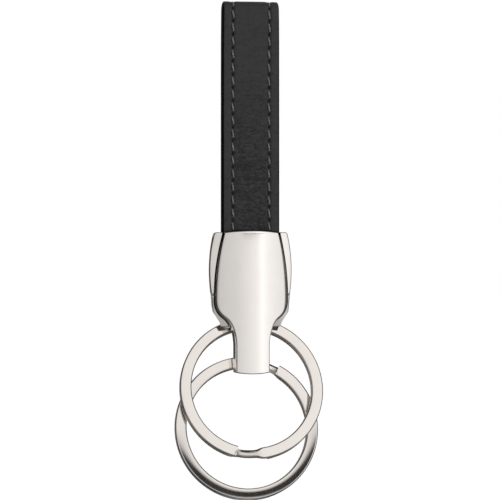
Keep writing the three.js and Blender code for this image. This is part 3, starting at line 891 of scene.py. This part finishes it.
def recess_cutters():
    """The room for the two plates, leaving the body's thin web between them."""
    past_crowns = 9
    below_block = 3
    line = edge_line(bottle_edge(NECK_HALF_WIDTH, NECK_BOTTOM), 16)
    right = line[line[:, 1] > SHOULDER_BOTTOM - below_block]
    step = np.gradient(right, axis=0)
    step /= np.linalg.norm(step, axis=1)[:, None]
    right = right + np.stack([-step[:, 1], step[:, 0]], 1) * GROOVE
    above = np.array([[right[0, 0], OVER_TOP]])
    right = np.concatenate([above, right])
    return [
        outline_solid("cutter", right, flat(y0), flat(y1), rounded=(0.01, 0.01))
        for y0, y1 in ((-past_crowns, -WEB_HALF_THICKNESS), (WEB_HALF_THICKNESS, past_crowns))
    ]


def strap_frame():
    right = edge_line(BODY_EDGE, 18)
    piece = outline_solid("strap_frame_wings", right, wing_face(-1), wing_face(1),
                          rounded=(BODY_ROUNDING, BODY_ROUNDING))
    cut(piece, [*recess_cutters(), pocket_cutter(SPAN), *screw_cutters()])
    smooth(piece)
    finish_piece(piece, NICKEL, "fob", ["strap_frame"])


def shoulder_block():
    right = edge_line(BLOCK_EDGE, 16)
    piece = outline_solid("shoulder_block_body", right, block_face(-1), block_face(1),
                          rounded=(BODY_ROUNDING, BODY_ROUNDING))
    # the sweep is cut first: cut after the recesses, it would leave the outer corners behind
    cut(piece, [sweep_cutter(joint_mm("front_ring_swing")), *recess_cutters(), *screw_cutters()])
    smooth(piece)
    finish_piece(piece, NICKEL, "fob", ["shoulder_block"])


def front_plate():
    right = edge_line(bottle_edge(NECK_HALF_WIDTH, NECK_BOTTOM), 22)
    piece = outline_solid("front_plate_shell", right, crown(FRONT_CROWN, -1), flat(SLOT_FRONT_Y),
                          (EDGE_ROUNDING, BODY_ROUNDING), TOP_ARCH, BOTTOM_ARCH, WALL_DRAFT)
    room = box_cutter(-SPAN, SPAN, -PLATE_BACK, SPAN, SHOULDER_BOTTOM - CLEARANCE, OVER_TOP)
    bar_front = box_mm("ring_bar")[0].y - PIN_END_GAP
    cut(piece, [room, pocket_cutter(POCKET_HALF_DEPTH), *ring_sweeps(), bar_hole(bar_front),
                *rivet_cutters(), *screw_cutters()])
    smooth(piece)
    finish_piece(piece, NICKEL, "fob", ["front_plate"])


def rear_plate():
    right = edge_line(bottle_edge(TONGUE_HALF_WIDTH, TONGUE_BOTTOM), 22)
    piece = outline_solid("rear_plate_shell", right, flat(SLOT_FRONT_Y + CLEARANCE), crown(REAR_CROWN, 1),
                          (BACK_ROUNDING, EDGE_ROUNDING), TOP_ARCH, BOTTOM_ARCH)
    room = box_cutter(-SPAN, SPAN, -SPAN, PLATE_BACK, SHOULDER_BOTTOM, OVER_TOP)
    slot = box_cutter(-SPAN, SPAN, SLOT_FRONT_Y, SLOT_REAR_Y, SLOT_BOTTOM_Z, SLOT_TOP_Z)
    cut(piece, [room, pocket_cutter(POCKET_HALF_DEPTH), slot, *ring_sweeps(), bar_hole(0),
                *rivet_cutters(), *screw_cutters()])
    smooth(piece)
    finish_piece(piece, NICKEL, "fob", ["rear_plate"])


# ---------- pins and screws ----------
def pin(node):
    """A plain pin along Y with chamfered ends."""
    low, high = box_mm(node)
    radius = half_width(low, high)
    x, z = middle(low, high)
    profile = [
        (0, low.y), (radius - PIN_CHAMFER, low.y), (radius, low.y + PIN_CHAMFER),
        (radius, high.y - PIN_CHAMFER), (radius - PIN_CHAMFER, high.y), (0, high.y),
    ]
    piece = turned(node + "_turned", profile, x, z)
    smooth(piece)
    finish_piece(piece, STEEL, "fob", [node])


def cover_screw(node, low, high):
    """A cap screw with a hexagon socket and a rounded head."""
    x, z = middle(low, high)
    head = half_width(low, high)
    neck = high.y - SCREW_HEAD_HEIGHT
    soft = SCREW_HEAD_ROUNDING
    corner = [
        (head - soft + soft * math.sin(a), high.y - soft + soft * math.cos(a))
        for a in np.linspace(0, math.pi / 2, 6)
    ]
    inset, rise = SCREW_TIP_CHAMFER
    profile = [
        (0, low.y), (SCREW_RADIUS - inset, low.y), (SCREW_RADIUS, low.y + rise),
        (SCREW_RADIUS, neck), (head, neck), *corner[::-1], (0, high.y),
    ]
    piece = turned(node + "_turned", profile, x, z)
    cut(piece, [hole_cutter(SOCKET_RADIUS, x, z, high.y - SOCKET_DEPTH, SPAN, sides=6)])
    smooth(piece)
    finish_piece(piece, STEEL, "fob", [node])


# ---------- split rings ----------
def ease(value, low, high):
    """From 0 at low to 1 at high, level at both ends."""
    t = min(max((value - low) / (high - low), 0), 1)
    return t * t * (3 - 2 * t)


def wire_section(width, outer, inner):
    """Flattened wire with bevelled corners, each bevel's edges softened, as (radial, axial) pairs.

    outer and inner are how far the bevels reach radially and axially on those two sides.
    """
    w, h = width / 2, COIL_THICKNESS / 2
    soft = WIRE_SOFTENING
    along = 0.7 * soft
    sides = []
    for bevel, drop in (outer, inner):
        corner = [
            (w - bevel - soft, h), (w - bevel + along, h - along),
            (w - along, h - drop + along), (w, h - drop - soft),
        ]
        sides.append(corner + [(r, -y) for r, y in corner[::-1]])
    return sides[0] + [(-r, y) for r, y in sides[1][::-1]]


def split_ring(name, node, joint, mount_name, turn, body):
    """Two coils of flat wire, the front one running on through a joggle into the rear one."""
    total = 4 * math.pi - JOGGLE - 2 * END_GAP
    half = JOGGLE / 2
    points = []
    for i in range(RING_SEGMENTS + 1):
        angle = total * i / RING_SEGMENTS - total / 2
        across = ease(angle, -half + JOGGLE_DELAY, half)
        narrow = ease(angle, -half, -half + FUNNEL) * (1 - ease(angle, half, half + FUNNEL))
        width = (RING_OUTER - RING_INNER) * (1 - JOGGLE_NARROWING * narrow)
        outer = [WIRE_BEVEL + more * narrow for more in JOGGLE_OUTER_BEVEL]
        inner = [WIRE_BEVEL + more * narrow for more in JOGGLE_INNER_BEVEL]
        for radial, axial in wire_section(width, outer, inner):
            radius = RING_MIDDLE + radial
            y = (across - 0.5) * COIL_PITCH + axial
            points.append((-radius * math.sin(angle), y, -radius * math.cos(angle)))
    rings = RING_SEGMENTS + 1
    count = len(points) // rings
    piece = add_piece(name, points, ring_faces(rings, count) + end_faces(rings, count))
    towards = mount(mount_name)["axis"]
    tilt = math.atan2(towards[2], -towards[1])
    place = Matrix.Translation(joint_mm(joint) * MM) @ Matrix.Rotation(-tilt, 4, "X")
    place = place @ Matrix.Translation((0, 0, -RING_MIDDLE * MM)) @ Matrix.Rotation(turn, 4, "Y")
    piece.data.transform(place)
    smooth(piece, 24)
    finish_piece(piece, RING_NICKEL, body, [node])


# ---------- surroundings ----------
def add_camera():
    """At the height of the fob's middle, a little to its left."""
    azimuth = math.radians(-9)
    distance = 425  # millimetres from the target
    shown = 104.2  # millimetres across the picture at the strap's plane
    target = Vector((0, 0, -51.8))
    back = Vector((math.sin(azimuth), -math.cos(azimuth), 0))
    data = bpy.data.cameras.new("camera")
    data.sensor_width = 36
    data.lens = data.sensor_width * distance / shown
    data.clip_start = 0.01
    camera = bpy.data.objects.new("camera", data)
    camera.location = (target + back * distance) * MM
    camera.rotation_euler = (-back).to_track_quat("-Z", "Y").to_euler()
    bpy.context.scene.collection.objects.link(camera)
    bpy.context.scene.camera = camera


def add_floor():
    """A wide floor some way below the hanging fob."""
    low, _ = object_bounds()
    half = 1500
    drop = 30
    z = low.z / MM - drop
    points = [(-half, -half, z), (half, -half, z), (half, half, z), (-half, half, z)]
    floor = add_piece("floor", points, [(0, 1, 2, 3)])
    floor.data.materials.append(floor_material())
    floor.visible_glossy = False


# brightness of the studio by compass direction, 0 in front of the fob and 90 to its right
AROUND = [
    (-180, 0.80), (-154, 0.7), (-144, 0.07), (-80, 0.06), (-74, 0.5), (-64, 0.71), (-30, 0.80), (0, 0.97),
    (18, 1.08), (32, 1.3), (48, 1.12), (84, 0.95), (90, 0.4), (93, 0.06), (150, 0.07), (158, 0.7),
    (180, 0.80),
]
# the same by height above the horizon, as a share
UPWARDS = [
    (-90, 0.4), (-74, 0.4), (-64, 0.12), (-42, 0.12), (-37, 0.35), (-26, 0.38), (-22, 0.5), (-9, 0.55),
    (-5, 1.0), (40, 1.0), (65, 0.85), (76, 0.1), (90, 0.08),
]
STRIP_DARKNESS = 0.96
# dark strips, each by compass direction and by height: a gap between the front lamps, one low down behind
# the fob, and an upright one behind it
STRIPS = [
    ([(-180, 0), (-24, 0), (-12, 1), (30, 1), (44, 0), (180, 0)],
     [(-90, 0), (17.2, 0), (17.9, 1), (20.8, 1), (21.2, 0), (90, 0)]),
    ([(-180, 1), (-120, 1), (-100, 0), (100, 0), (120, 1), (180, 1)],
     [(-90, 0), (-42, 0), (-37, 1), (-25, 1), (-21, 0), (90, 0)]),
    ([(-180, 0), (-178, 0), (-175.5, 1), (-167, 1), (-164, 0), (180, 0)],
     [(-90, 0), (-18, 0), (-12, 1), (12, 1), (18, 0), (90, 0)]),
]


def add_studio():
    """Soft surroundings that reflections and light come from. The camera itself sees white."""
    world = bpy.data.worlds.new("studio")
    bpy.context.scene.world = world
    world.use_nodes = True
    tree = world.node_tree
    background = tree.nodes["Background"]

    def math_node(operation, *values):
        made = tree.nodes.new("ShaderNodeMath")
        made.operation = operation
        for socket, value in zip(made.inputs, values):
            if isinstance(value, bpy.types.NodeSocket):
                tree.links.new(value, socket)
            else:
                socket.default_value = value
        return made.outputs[0]

    def by_angle(radians, stops, span):
        """Brightness on straight lines through (degrees, value) stops, from -span to span degrees."""
        share = math_node("MULTIPLY_ADD", radians, 1 / math.radians(2 * span), 0.5)
        ramp = tree.nodes.new("ShaderNodeValToRGB")
        tree.links.new(share, ramp.inputs["Fac"])
        elements = ramp.color_ramp.elements
        while len(elements) < len(stops):
            elements.new(0.5)
        for element, (degrees, value) in zip(elements, stops):
            element.position = (degrees + span) / (2 * span)
            element.color = (value, value, value, 1)
        return ramp.outputs["Color"]

    where = tree.nodes.new("ShaderNodeSeparateXYZ")
    direction = tree.nodes.new("ShaderNodeTexCoord").outputs["Generated"]
    tree.links.new(direction, where.inputs["Vector"])
    x, y, z = where.outputs
    around = math_node("ARCTAN2", x, math_node("MULTIPLY", y, -1.0))
    upwards = math_node("ARCSINE", z)

    def by_direction(stops_around, stops_up):
        return math_node("MULTIPLY", by_angle(around, stops_around, 180), by_angle(upwards, stops_up, 90))

    lit = by_direction(AROUND, UPWARDS)
    for stops_around, stops_up in STRIPS:
        strip = by_direction(stops_around, stops_up)
        lit = math_node("MULTIPLY", lit, math_node("MULTIPLY_ADD", strip, -STRIP_DARKNESS, 1.0))
    seen = tree.nodes.new("ShaderNodeLightPath").outputs["Is Camera Ray"]
    shown = math_node("MAXIMUM", lit, seen)
    tree.links.new(shown, background.inputs["Color"])


add_camera()
strap_face()
strap_lining()
stitch_row("stitch_row_left", -1)
stitch_row("stitch_row_right", 1)
strap_frame()
shoulder_block()
front_plate()
rear_plate()
for plain_pin in ("strap_rivet_left", "strap_rivet_right", "ring_bar"):
    pin(plain_pin)
for screw, (lowest, highest) in screw_places().items():
    cover_screw(screw, lowest, highest)
split_ring("front_ring_wire", "split_ring_front", "front_ring_swing", "front_split_ring",
           FRONT_RING_TURN, "front_ring")
split_ring("rear_ring_wire", "split_ring_rear", "rear_ring_swing", "rear_split_ring",
           REAR_RING_TURN, "rear_ring")
add_floor()
add_studio()
bpy.context.scene.view_settings.view_transform = "Standard"
